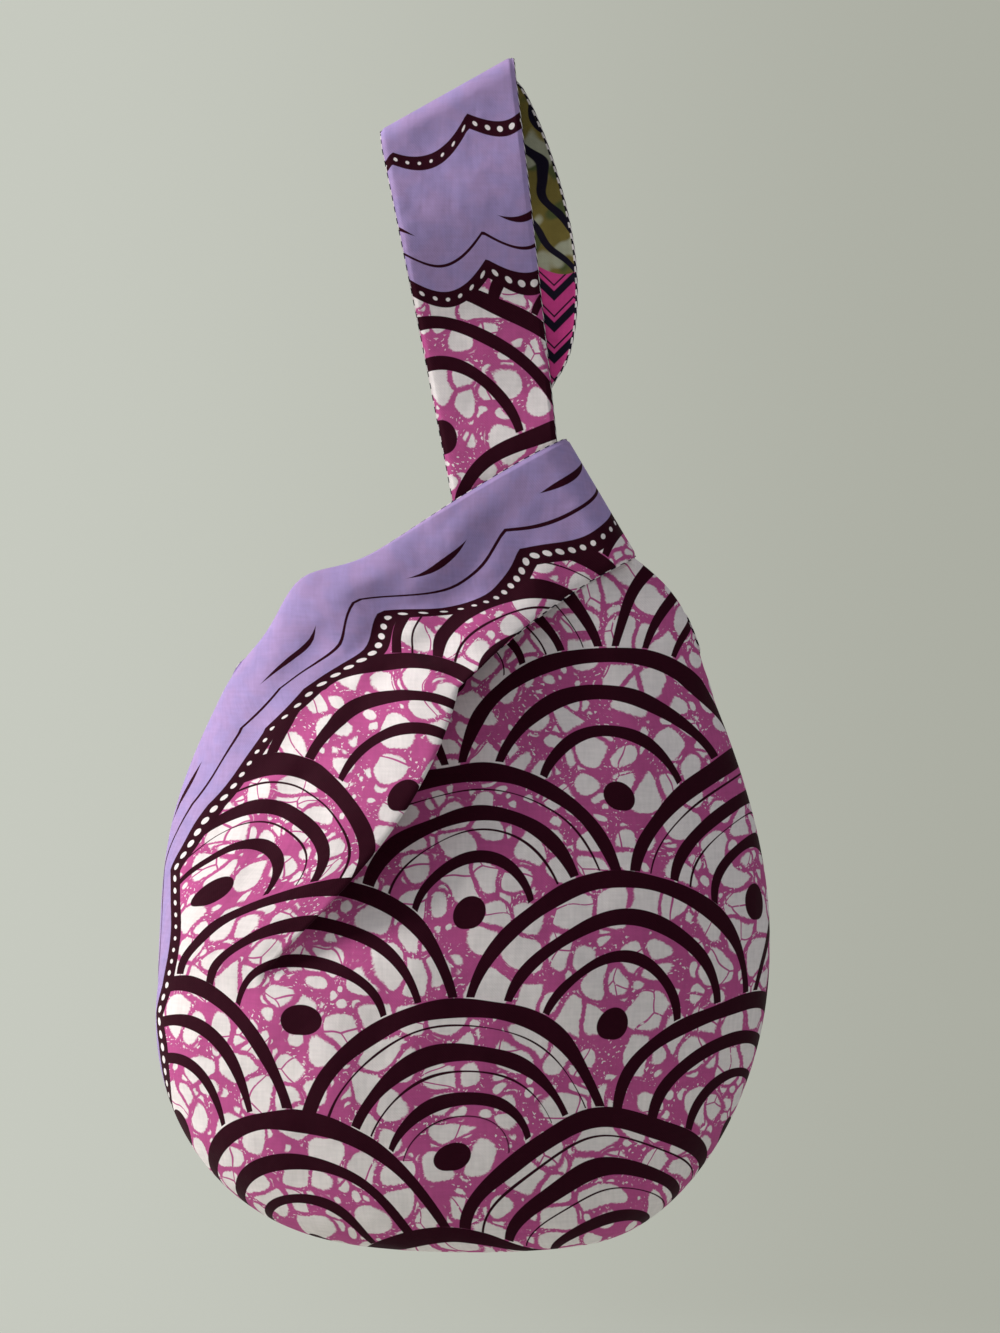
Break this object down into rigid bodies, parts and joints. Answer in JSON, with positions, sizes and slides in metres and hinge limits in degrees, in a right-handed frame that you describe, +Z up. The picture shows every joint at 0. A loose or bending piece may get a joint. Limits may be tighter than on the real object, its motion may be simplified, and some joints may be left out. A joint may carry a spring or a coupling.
{
  "type": "knot bag",
  "caption": "Lined cotton wrist bag with a rounded body, hung by a long handle that runs through its short handle, which closes the mouth as a sliding loop.",
  "frame": {"origin": "hang point: the underside of the long handle's top fold, in the middle of the handle's width", "axes": "+Z up, +X to the right of someone who faces the front with the short handle's root at their left, +Y from the front to the back"},
  "size_m": [0.2641, 0.1306, 0.512],
  "materials": {
    "panel_print": "matte printed cotton",
    "handle_print": "matte printed cotton",
    "lining_cotton": "matte printed cotton",
    "sewn_seam": "matte sewn cotton"
  },
  "bodies": {
    "long_handle": {"long_handle_front_outer": "handle_print", "long_handle_back_outer": "handle_print", "long_handle_front_lining": "lining_cotton", "long_handle_back_lining": "lining_cotton", "long_handle_seam": "sewn_seam"},
    "bag_body": {"outer_front_panel": "panel_print", "outer_back_panel": "panel_print", "long_root_front_outer": "panel_print", "long_root_back_outer": "panel_print", "lining_front_panel": "lining_cotton", "lining_back_panel": "lining_cotton", "long_root_front_lining": "lining_cotton", "long_root_back_lining": "lining_cotton", "side_seam_left": "sewn_seam", "side_seam_right": "sewn_seam", "base_seam": "sewn_seam"},
    "short_handle": {"short_handle_front_outer": "handle_print", "short_handle_back_outer": "handle_print", "short_handle_front_lining": "lining_cotton", "short_handle_back_lining": "lining_cotton", "short_handle_seam": "sewn_seam"}
  },
  "joints": [
    {"name": "bag_swing", "type": "hinge", "parent": "long_handle", "child": "bag_body", "pos_m": [0.01798, 0, -0.11578], "axis": [0.9882, 0, 0.1534], "range_deg": [-50, 50]},
    {"name": "loop_slide", "type": "slide", "parent": "bag_body", "child": "short_handle", "axis": [-0.1534, 0, 0.9882], "range_m": [0, 0.024]}
  ]
}
